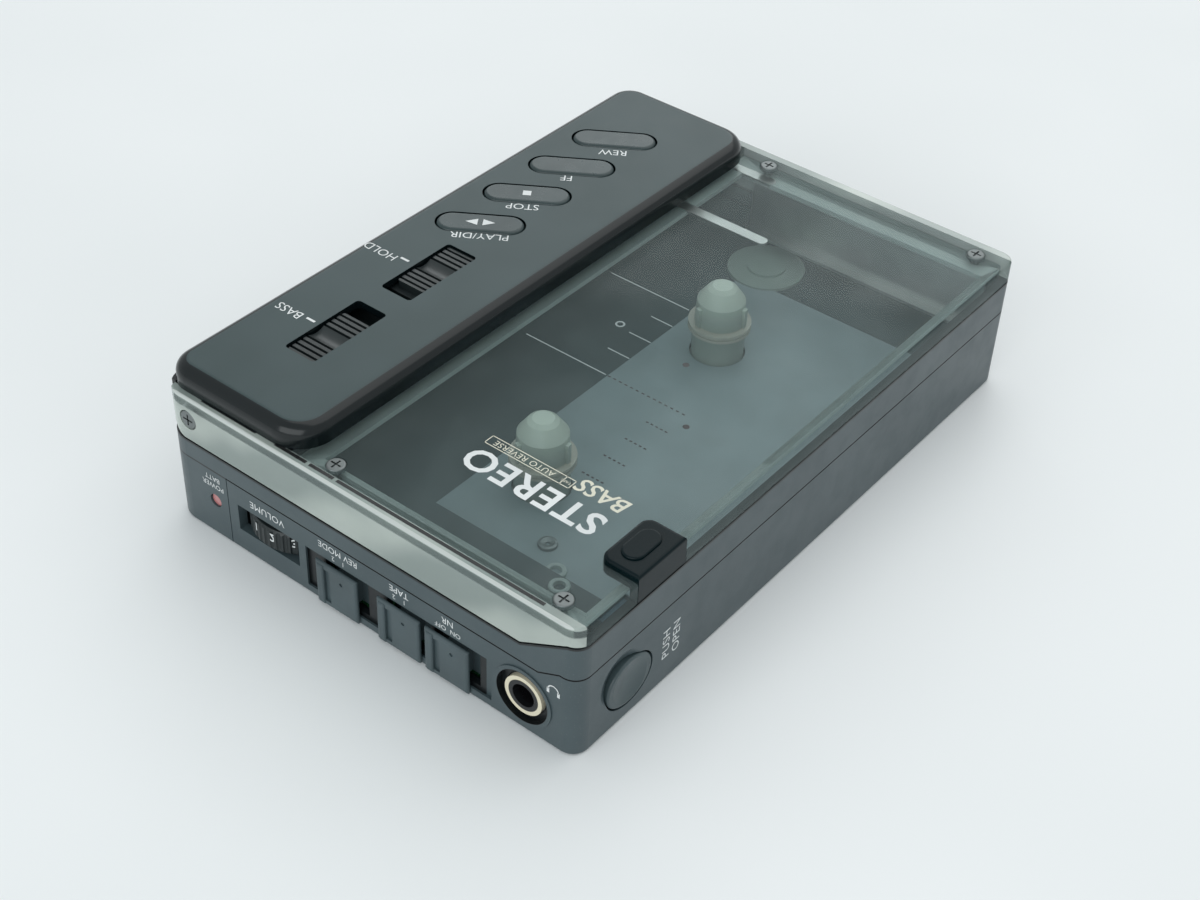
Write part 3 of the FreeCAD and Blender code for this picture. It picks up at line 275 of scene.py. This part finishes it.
def strip_finish():
    """Slate satin on the flat of the control strip and gloss black on its rounded edge."""
    look = Finish("strip_slate")
    flat = look.z.over_mm(STRIP_TOP - 0.06, STRIP_TOP - 0.01)
    drift = look.noise(12.0, 4.0).over(0.3, 0.7)
    slate = look.mix(drift, (0.026, 0.048, 0.050), (0.034, 0.058, 0.061))
    look.feed("Base Color", look.mix(flat, (0.003, 0.006, 0.007), slate))
    look.feed("Roughness", flat * 0.22 + look.noise(3.0, 5.0) * 0.10 + 0.14)
    look.feed("Specular IOR Level", 0.42)
    look.bump(look.noise(0.14, 2.0) * flat, 0.16, 0.02)
    return look.material


def clear_finish(name, per_face, haze):
    """Smoked acrylic: a tinted pane that mirrors more at a low angle and carries a little dust.

    The two end walls are drawn pale with soft diagonal streaks, so they read as pale bands.
    """
    look = Finish(name)
    # the end walls: one at the socket's end, dimmed along a band under its top, and one at the far end
    near = look.x.over_mm(END_X + 1.62, END_X + 1.50)
    band = look.z.over_mm(LID_TOP - 1.9, LID_TOP - 1.5) * look.z.over_mm(LID_TOP - 0.45, LID_TOP - 0.6)
    near = near * (band * -0.72 + 1.0)
    far = look.x.over_mm(FAR_X - 1.62, FAR_X - 1.50)
    # painted highlight: the bright line along the top edge of the socket's end
    glint = look.z.over_mm(LID_TOP - 0.42, LID_TOP - 0.30) * look.x.over_mm(END_X + 0.42, END_X + 0.32)
    streak = (look.y + look.z * 2.2).join("MULTIPLY", 190.0).join("SINE") * 0.5 + look.noise(9.0, 1.0)
    end_wall_pale = look.mix(streak.over(0.1, 1.1), (0.30, 0.35, 0.33), (0.50, 0.55, 0.51))
    pane = look.mix(near.largest(far), (0.22, 0.27, 0.27), end_wall_pale)
    look.feed("Base Color", look.mix(glint, pane, (0.52, 0.55, 0.53)))
    look.feed("Roughness", look.noise(6.0, 4.0) * 0.06 + 0.03)
    look.feed("Specular IOR Level", 0.6)
    clear = look.node("ShaderNodeBsdfTransparent", {}, {"Color": per_face})
    weight = look.node("ShaderNodeLayerWeight", {}, {"Blend": 0.5})
    mirror = Value(look, weight.outputs["Facing"]).join("POWER", 5.0) * 0.9 + 0.045
    # dust: specks in patches on the open part of the lid, smears and a slow haze
    speck = look.spots(1.7).over(0.10, 0.045)
    patch = look.noise(7.0, 3.0).over(0.55, 0.75) * look.x.over_mm(-10, 45)
    smear = look.noise(10.0, 6.0).over(0.45, 0.8) * 0.05
    cloud = look.noise(22.0, 2.0).over(0.2, 0.9) * 0.03
    shown = mirror + haze + smear + cloud + speck * patch * 0.5 + near * 0.62 + far * 0.75 + glint * 0.4
    blend = look.node("ShaderNodeMixShader", {},
                      {0: shown.smallest(1.0), 1: clear.outputs[0], 2: look.shader.outputs[0]})
    look.fill(look.output.inputs["Surface"], blend.outputs[0])
    return look.material


def spindle_finish():
    """Milky moulded plastic with a faint green cast, with painted light: brighter towards the top and
    darker low in the well.
    """
    look = Finish("spindle_milk")
    # painted light and shade: the spindle is drawn darker low in the well and brighter towards its top,
    # where light falls
    lit_top_mask = look.z.over_mm(13.0, 20.0)
    milk_lit_and_shaded = look.mix(lit_top_mask, (0.31, 0.35, 0.31), (0.66, 0.71, 0.62))
    collar = look.z.over_mm(12.8, 12.95) * look.z.over_mm(14.3, 14.15)
    look.feed("Base Color", look.mix(collar, milk_lit_and_shaded, (0.50, 0.47, 0.40)))
    look.feed("Roughness", look.noise(1.2, 3.0) * 0.14 + 0.28)
    look.feed("Subsurface Weight", 0.25)
    look.feed("Subsurface Radius", (0.002, 0.002, 0.0018))
    look.feed("Subsurface Scale", 1.0)
    look.bump(look.noise(0.3, 2.0), 0.08, 0.02)
    return look.material


def cell_finish():
    """A printed sleeve round the flat cell, with a bare band at one end."""
    look = Finish("cell_sleeve")
    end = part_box("battery_cell")[1][0]
    band = look.x.over(end - 9 * MM, end - 8.8 * MM)
    look.feed("Base Color", look.mix(band, (0.05, 0.16, 0.24), (0.62, 0.62, 0.60)))
    look.feed("Roughness", look.noise(2.0, 4.0) * 0.12 + 0.30)
    look.bump(look.noise(0.4, 2.0), 0.06, 0.02)
    return look.material


def board_finish():
    """Solder mask over faint copper tracks."""
    look = Finish("board_mask")
    tracks = look.noise(1.6, 1.0, (1.0, 3.0, 1.0)).over(0.50, 0.53)
    look.feed("Base Color", look.mix(tracks, (0.012, 0.075, 0.030), (0.030, 0.145, 0.055)))
    look.feed("Roughness", look.noise(2.0, 3.0) * 0.1 + 0.28)
    look.bump(tracks, 0.25, 0.03)
    return look.material


def collar_finish():
    """The socket's ring: plated at its outer rim and black towards the hole."""
    look = Finish("collar_plated")
    rim = look.away_from(*middle_of("jack_collar")[1:]).over_mm(2.42, 2.54)
    look.feed("Base Color", look.mix(rim, (0.008, 0.009, 0.010), (0.72, 0.66, 0.50)))
    look.feed("Roughness", look.noise(1.5, 3.0) * 0.10 + 0.24)
    look.bump(look.noise(0.3, 2.0), 0.06, 0.02)
    return look.material


SATIN = case_finish()
STRIP = strip_finish()
CLEAR = clear_finish("smoked_clear", (0.90, 0.935, 0.935), 0.06)
SPINDLE = spindle_finish()
GLOSS = plastic("gloss_black", (0.001, 0.007, 0.009), 0.24, 0.3, 0.05, 0.10, 0.16)
BUTTON = plastic("button_slate", (0.024, 0.042, 0.044), 0.30, 0.2, 0.10, 0.10, 0.5)
OPENER = plastic("opener_slate", (0.050, 0.074, 0.080), 0.34, 0.15, 0.16, 0.10, 0.5)
END_KNOB = plastic("end_knob_slate", (0.058, 0.082, 0.090), 0.36, 0.12, 0.25, 0.12, 0.5)
COLLAR = collar_finish()
KNOB = plastic("knob_black", (0.014, 0.020, 0.021), 0.36, 0.12, 0.30, 0.12, 0.5)
PALE = plastic("frame_pale", (0.40, 0.46, 0.44), 0.42, 0.15, 0.20, 0.06)
# also worn by the deck_liner, a light sheet that stands for light falling on the bay floor past the strip's
# shadow: painted light
GREY_AND_LIT_FLOOR = plastic("grey_moulded_and_painted_light", (0.27, 0.33, 0.345), 0.48, 0.15, 0.10, 0.08)
DARK = plastic("deck_dark", (0.040, 0.058, 0.063), 0.46, 0.15, 0.10, 0.12)
PAD = plastic("pad_green", (0.30, 0.36, 0.32), 0.40, 0.2, 0.10, 0.08)
LAMP = plastic("lamp_lens", (0.46, 0.17, 0.17), 0.18, 0.5, 0.0, 0.05, 0.6, 0.6)
SOCKET = plastic("socket_black", (0.006, 0.006, 0.007), 0.30, 0.2, 0.10, 0.10)
GEAR = plastic("gear_acetal", (0.72, 0.72, 0.66), 0.38, 0.2, 0.08, 0.05)
RUBBER = plastic("rubber_black", (0.014, 0.014, 0.014), 0.72, 0.10, 0.45, 0.15, 0.3)
STEEL = metal("steel_plated", (0.60, 0.60, 0.58), 0.24)
SCREW = metal("screw_steel", (0.24, 0.26, 0.26), 0.40)
DRAWN = metal("steel_drawn", (0.56, 0.56, 0.54), 0.26, (1.0, 14.0, 14.0), 0.10)
TURNED = metal("aluminium_turned", (0.66, 0.66, 0.66), 0.22, (1.0, 1.0, 20.0), 0.10)
BRASS = metal("brass_plated", (0.78, 0.66, 0.42), 0.22)
BOARD = board_finish()
CELL = cell_finish()

WEARERS = (
    (SATIN, "rear_case mid_frame battery_cover"),
    (STRIP, "control_cover"),
    (GLOSS, "latch_tab"),
    (CLEAR, "lid_panel"),
    (PALE, "door_frame"),
    (DARK, "deck control_base"),
    # painted light: deck_liner is a light grey sheet laid where light falls on the bay floor beside the
    # strip's shadow
    (GREY_AND_LIT_FLOOR, "deck_liner volume_pot"),
    (PAD, "cassette_pad"),
    (STEEL, "chassis_plate pivot_pins battery_contacts latch_spring motor_can head_carriage"),
    (STEEL, "hinge_brackets hold_down_springs latch_hook capstan_left capstan_right"),
    (STEEL, "pinch_arm_left pinch_arm_right"),
    (BRASS, "capstan_bushes motor_pulley"),
    (BOARD, "main_board"),
    (KNOB, "end_switches volume_wheel latch_slider control_board hold_knob bass_knob"),
    (SOCKET, "jack_socket"),
    (COLLAR, "jack_collar"),
    (LAMP, "power_lamp"),
    (CELL, "battery_cell"),
    (SCREW, "case_screws door_screws"),
    (OPENER, "open_button"),
    (RUBBER, "drive_belt pinch_roller_left pinch_roller_right"),
    (GEAR, "idler_gear reel_gear_left reel_gear_right"),
    (TURNED, "tape_head flywheel_left flywheel_right"),
    (DRAWN, "holder_rails"),
    (SPINDLE, "spindle_left spindle_right"),
    (END_KNOB, "mode_knob tape_knob noise_knob"),
    (BUTTON, "rew_button ff_button stop_button play_button"),
)
FINISH_OF = {name: finish for finish, names in WEARERS for name in names.split()}
for name, node in nodes.items():
    node.data.materials.clear()
    node.data.materials.append(FINISH_OF[name])


# ---------------------------------------------------------------- print and small pieces

X, Y, Z = Vector((1, 0, 0)), Vector((0, 1, 0)), Vector((0, 0, 1))
TOP_PRINT = (Y, -X)
END_PRINT = (Y, -Z)
FRONT_PRINT = (Z, -X)
BUTTON_PRINT = (Vector((-0.556, 0.831, 0)), Vector((-0.831, -0.556, 0)))

WHITE_INK = plastic("ink_white", (0.70, 0.72, 0.72), 0.45, 0.3, 0.05, 0.06)
CREAM_INK = plastic("ink_cream", (0.70, 0.68, 0.56), 0.45, 0.3, 0.05, 0.06)
# painted refraction: the pale tone of the lid's moulded scale lines over the dark bay floor
PALE_REFRACTION_TONE = plastic("pale_refraction_tone", (0.20, 0.25, 0.25), 0.45, 0.3, 0.05, 0.08)
# painted refraction and reflection: the dark tone of the moulded lines over the lit floor, their dark
# mirror image, and the dark line at the lid's bevel
DARK_REFRACTION_AND_REFLECTION = plastic("dark_refraction_and_reflection", (0.010, 0.011, 0.012), 0.30, 0.3, 0.05, 0.08)


def turn(along, up):
    """The matrix of a flat drawing whose right and top point along the two given directions."""
    return Matrix((along, up, along.cross(up))).transposed().to_4x4()


def show(name, whole, finish, body):
    """Turn a bmesh into a finished piece that rides on a body."""
    mesh = bpy.data.meshes.new(name)
    whole.to_mesh(mesh)
    whole.free()
    mesh.materials.append(finish)
    piece = bpy.data.objects.new(name, mesh)
    bpy.context.scene.collection.objects.link(piece)
    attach(piece, body)


class Print:
    """Flat ink on one surface of one body, gathered into a single mesh; it also carries the lid's painted
    refraction and reflection lines.
    """

    def __init__(self, name, body, ink, facing, lift=SKIN):
        self.name, self.body, self.ink = name, body, ink
        self.facing, self.lift = turn(*facing), lift
        self.mesh = bmesh.new()

    def matrix(self, at):
        normal = self.facing.to_3x3() @ Z
        place = (Vector(at) + normal * self.lift) * MM
        return Matrix.Translation(place) @ self.facing

    def word(self, text, at, height, spacing=1.0, shear=0.0, wide=1.0, heavy=0.0):
        curve = bpy.data.curves.new("word", "FONT")
        curve.body = text
        curve.size = height * MM / CAPITAL
        curve.align_x = "CENTER"
        curve.align_y = "CENTER"
        curve.space_character = spacing
        curve.shear = shear
        curve.offset = heavy * MM
        curve.resolution_u = 3
        holder = bpy.data.objects.new("word", curve)
        flat = bpy.data.meshes.new_from_object(holder)
        flat.transform(self.matrix(at) @ Matrix.Diagonal((wide, 1.0, 1.0, 1.0)))
        self.mesh.from_mesh(flat)
        bpy.data.objects.remove(holder)
        bpy.data.meshes.remove(flat)
        bpy.data.curves.remove(curve)

    def outline(self, at, points):
        """A filled outline given in the drawing's own right and top, in millimetres."""
        matrix = self.matrix(at)
        made = [self.mesh.verts.new(matrix @ Vector((u * MM, v * MM, 0))) for u, v in points]
        self.mesh.faces.new(made)

    def bar(self, at, long, wide):
        right, top = long / 2, wide / 2
        self.outline(at, [(-right, -top), (right, -top), (right, top), (-right, top)])

    def dot(self, at, radius, count=20):
        angles = [2 * math.pi * i / count for i in range(count)]
        self.outline(at, [(radius * math.cos(a), radius * math.sin(a)) for a in angles])

    def frame(self, at, long, high, line):
        for side in (-1, 1):
            self.bar(shifted(self, at, 0, side * (high - line) / 2), long, line)
            self.bar(shifted(self, at, side * (long - line) / 2, 0), line, high)

    def arc(self, at, radius, line, start, end, count=18):
        angles = [math.radians(start + (end - start) * i / count) for i in range(count + 1)]
        inner, outer = radius - line / 2, radius + line / 2
        for a, b in zip(angles, angles[1:]):
            corners = ((inner, a), (outer, a), (outer, b), (inner, b))
            self.outline(at, [(r * math.cos(angle), r * math.sin(angle)) for r, angle in corners])

    def done(self):
        show(self.name, self.mesh, self.ink, self.body)


def shifted(page, at, right, top):
    """A point on the page, moved by so many millimetres to its right and its top."""
    return Vector(at) + page.facing.to_3x3() @ Vector((right, top, 0))


def strip_print():
    page = Print("button_words", "door", WHITE_INK, BUTTON_PRINT)
    top = STRIP_TOP
    words = (("REW", 31.44, 24.83), ("FF", 20.5, 25.52), ("STOP", 9.61, 25.35), ("PLAY/DIR", -0.9, 24.9))
    for text, x, y in words:
        page.word(text, (x, y, top), 1.5)
    page.done()
    page = Print("strip_words", "door", WHITE_INK, TOP_PRINT)
    page.word("HOLD", (-13.6, 33.2, top), 1.55)
    page.word("BASS", (-33.0, 32.5, top), 1.55)
    page.bar((-12.9, 29.0, top), 1.6, 0.42)
    page.bar((-32.7, 28.6, top), 1.6, 0.42)
    page.done()


def crown_of(name):
    """The middle of a node's top, in millimetres."""
    x, y, _ = middle_of(name)
    return Vector((x, y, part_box(name)[1][2])) / MM


def button_print():
    page = Print("play_arrows", "play", WHITE_INK, BUTTON_PRINT)
    at = crown_of("play_button")
    for side in (-1, 1):
        page.outline(at, [(side * 2.3, 0), (side * 0.4, 0.85), (side * 0.4, -0.85)][::-side])
    page.done()
    page = Print("stop_square", "stop", WHITE_INK, BUTTON_PRINT)
    page.bar(crown_of("stop_button"), 1.3, 1.3)
    page.done()


def lid_print_and_refraction():
    page = Print("lid_words", "door", WHITE_INK, TOP_PRINT)
    page.word("STEREO", (-36.9, -16.1, LID_TOP), 4.1, 1.08, 0.0, 1.04, 0.12)
    page.done()
    page = Print("lid_small_words", "door", CREAM_INK, TOP_PRINT)
    page.word("BASS", (-31.9, -24.0, LID_TOP), 2.6, 1.0, 0.18, 1.0, 0.05)
    page.frame((-32.9, -12.2, LID_TOP), 14.6, 1.9, 0.14)
    page.bar((-32.9, -17.9, LID_TOP), 0.14, 1.9)
    page.word("AUTO REVERSE", (-32.9, -11.2, LID_TOP), 1.0, 1.05)
    page.word("TAPE", (-32.9, -18.4, LID_TOP), 0.5)
    page.done()
    # the scale lines are moulded into the lid; painted refraction draws them pale over the dark floor and
    # dark over the lit floor
    pale = Print("lid_scale_pale_refraction", "door", PALE_REFRACTION_TONE, TOP_PRINT)
    dark = Print("lid_scale_dark_refraction_and_reflection", "door", DARK_REFRACTION_AND_REFLECTION, TOP_PRINT)
    for x, ya, yb in ((8.7, 7.0, -7.6), (3.8, -4.3, -8.2), (-1.4, -4.3, -8.2), (-6.4, -4.3, -8.2)):
        pale.bar((x, (ya + yb) / 2, LID_TOP), abs(ya - yb), 0.22)
    pale.bar((-11.5, -0.7, LID_TOP), 14.6, 0.22)
    # painted refraction: the moulded line at x -11.5 drawn dark where it crosses the lit floor
    for step in range(14):
        dark.bar((-11.5, -8.6 - step, LID_TOP), 0.5, 0.24)
    # painted reflection: dark dashes, a mirror image of the ticks seen in the lit floor below
    for x in (-16.1, -20.8, -25.4, -30.0):
        for step in range(5):
            dark.bar((x, -18.9 - step * 0.8, LID_TOP), 0.42, 0.26)
    for x, y in ((-13.4, -23.5), (-2.24, -15.17)):
        dark.dot((x, y, LID_TOP), 0.5)
    pale.arc((-0.7, -2.1, LID_TOP), 0.6, 0.3, 0, 360)
    pale.done()
    dark.done()
    # painted refraction: a thin dark line along the top of the lid's end, where light bends at its bevel,
    # with clear breaks
    page = Print("lid_edge_dark_refraction", "door", DARK_REFRACTION_AND_REFLECTION, TOP_PRINT)
    for ya, yb in ((-31.0, 4.4), (5.0, 9.4), (10.0, 15.8), (19.4, 30.0)):
        page.bar((END_X + 1.15, (ya + yb) / 2, LID_TOP), yb - ya, 0.55)
    page.done()


def end_print():
    page = Print("end_words", "case", WHITE_INK, END_PRINT)
    x = END_X
    page.word("VOLUME", (x, 17.6, 10.2), 1.15, 1.05)
    page.word("POWER", (x, 28.4, 9.4), 0.85)
    page.word("BATT", (x, 28.4, 10.7), 0.85)
    for text, under, y in (("REV MODE", "1    2", 4.0), ("TAPE", "1    2", -7.2), ("NR", "ON  OFF", -15.8)):
        page.word(text, (x, y, 11.0), 1.05)
        page.word(under, (x, y, 9.6), 0.8)
    at = (x, -33.6, 10.4)
    page.arc(at, 0.85, 0.2, 180, 360)
    for side in (-1, 1):
        page.bar(shifted(page, at, side * 0.85, 0.25), 0.42, 0.8)
    page.done()


def front_print():
    page = Print("front_words", "case", WHITE_INK, FRONT_PRINT)
    page.word("PUSH", (-34.9, FRONT_Y, 7.1), 1.5, 1.05)
    page.word("OPEN", (-32.7, FRONT_Y, 7.1), 1.5, 1.05)
    page.done()


def wheel_print():
    """White numbers round the volume wheel's rim, one piece that turns with it."""
    low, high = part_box("volume_wheel")
    cx, cy, z = (side / MM for side in middle_of("volume_wheel"))
    radius = (high[0] - low[0]) / 2 / MM
    first_angle, apart = 140, 24
    whole = bmesh.new()
    for number in range(11):
        angle = math.radians(first_angle + number * apart)
        out = Vector((math.cos(angle), math.sin(angle), 0))
        page = Print("number", "volume", WHITE_INK, (-out.cross(Z), -Z))
        at = (cx + out.x * radius, cy + out.y * radius, z + 0.55)
        page.word(str(number), at, 1.35, heavy=0.04)
        flat = bpy.data.meshes.new("number")
        page.mesh.to_mesh(flat)
        page.mesh.free()
        whole.from_mesh(flat)
        bpy.data.meshes.remove(flat)
    show("wheel_numbers", whole, WHITE_INK, "volume")


def turned(outline, x, y, count=40):
    """A closed outline of radius and height pairs, in millimetres, spun round an upright axis."""
    mesh = bmesh.new()
    made = [mesh.verts.new(Vector((x + radius, y, z)) * MM) for radius, z in outline]
    edges = [mesh.edges.new(pair) for pair in zip(made, made[1:] + made[:1])]
    bmesh.ops.spin(mesh, geom=made + edges, cent=Vector((x, y, 0)) * MM, axis=Z, dvec=(0, 0, 0),
                   angle=2 * math.pi, steps=count, use_merge=True)
    bmesh.ops.recalc_face_normals(mesh, faces=mesh.faces)
    return mesh


SCREW_HEAD = ((0.35, 0.25), (1.0, 0.5), (1.35, 0.42), (1.45, 0.2), (1.45, -0.1), (0.35, -0.1))
MOULDED_RING = ((0.8, 0.1), (0.9, 0.55), (1.3, 0.6), (1.5, 0.5), (1.55, -0.1), (0.8, -0.1))


def deck_bosses():
    """Two moulded rings and a small screw on the bay floor beside the left spindle."""
    floor_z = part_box("deck_liner")[1][2] / MM
    high_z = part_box("deck")[1][2] / MM
    for name, x, y, z, finish, outline in (
        ("floor_screw", -31.4, -14.3, floor_z, SCREW, SCREW_HEAD),
        ("floor_ring", -35.0, -18.7, floor_z, PALE, MOULDED_RING),
        ("deck_ring", -38.4, -22.1, high_z, PALE, MOULDED_RING),
    ):
        show(name, turned([(r, z + h) for r, h in outline], x, y), finish, "case")


deck_bosses()
strip_print()
button_print()
lid_print_and_refraction()
end_print()
front_print()
wheel_print()


# ---------------------------------------------------------------- floor, light and camera

def floor():
    half = 3.0
    level = cad_box[0][2] - 0.05 * MM
    sheet = bmesh.new()
    bmesh.ops.create_grid(sheet, x_segments=1, y_segments=1, size=half,
                          matrix=Matrix.Translation((0, 0, level)))
    mesh = bpy.data.meshes.new("floor")
    sheet.to_mesh(mesh)
    sheet.free()
    look = Finish("floor_white")
    cloud = look.noise(160.0, 3.0).over(0.3, 0.7)
    look.feed("Base Color", look.mix(cloud, (0.80, 0.815, 0.82), (0.85, 0.86, 0.865)))
    look.feed("Roughness", 0.55)
    look.feed("Specular IOR Level", 0.35)
    mesh.materials.append(look.material)
    piece = bpy.data.objects.new("floor", mesh)
    bpy.context.scene.collection.objects.link(piece)


def lamp(name, place, size, power, colour):
    """A soft rectangular lamp that points at the middle of the scene."""
    data = bpy.data.lights.new(name, "AREA")
    data.shape = "RECTANGLE"
    data.size, data.size_y = size
    data.energy = power
    data.color = colour
    piece = bpy.data.objects.new(name, data)
    piece.location = place
    piece.rotation_euler = (-Vector(place)).to_track_quat("-Z", "Y").to_euler()
    bpy.context.scene.collection.objects.link(piece)


def world():
    """Even, slightly cool light from all round."""
    sky = bpy.data.worlds.new("studio")
    sky.use_nodes = True
    background = sky.node_tree.nodes["Background"]
    background.inputs["Color"].default_value = (0.91, 0.97, 0.985, 1.0)
    background.inputs["Strength"].default_value = 0.64
    bpy.context.scene.world = sky


def camera():
    data = bpy.data.cameras.new("camera")
    data.lens = 57.77
    data.sensor_width = 36.0
    data.clip_start = 0.01
    piece = bpy.data.objects.new("camera", data)
    forward = Vector((0.6133, 0.4622, -0.6405)).normalized()
    right = Vector((0.6239, -0.7807, 0.0340))
    right = (right - forward * right.dot(forward)).normalized()
    up = right.cross(forward)
    facing = Matrix((right, up, -forward)).transposed().to_4x4()
    piece.matrix_world = Matrix.Translation(Vector((-183.04, -136.85, 188.13)) * MM) @ facing
    bpy.context.scene.collection.objects.link(piece)
    bpy.context.scene.camera = piece


floor()
world()
lamp("key", (0.42, -0.03, 0.80), (1.0, 1.0), 2.6, (1.0, 1.0, 0.99))
lamp("fill", (-0.75, -0.15, 0.42), (1.0, 0.6), 3.2, (0.94, 0.985, 1.0))
lamp("back", (0.78, 0.60, 0.50), (0.7, 0.35), 1.3, (0.95, 0.99, 1.0))
camera()
bpy.context.scene.view_settings.view_transform = "Standard"
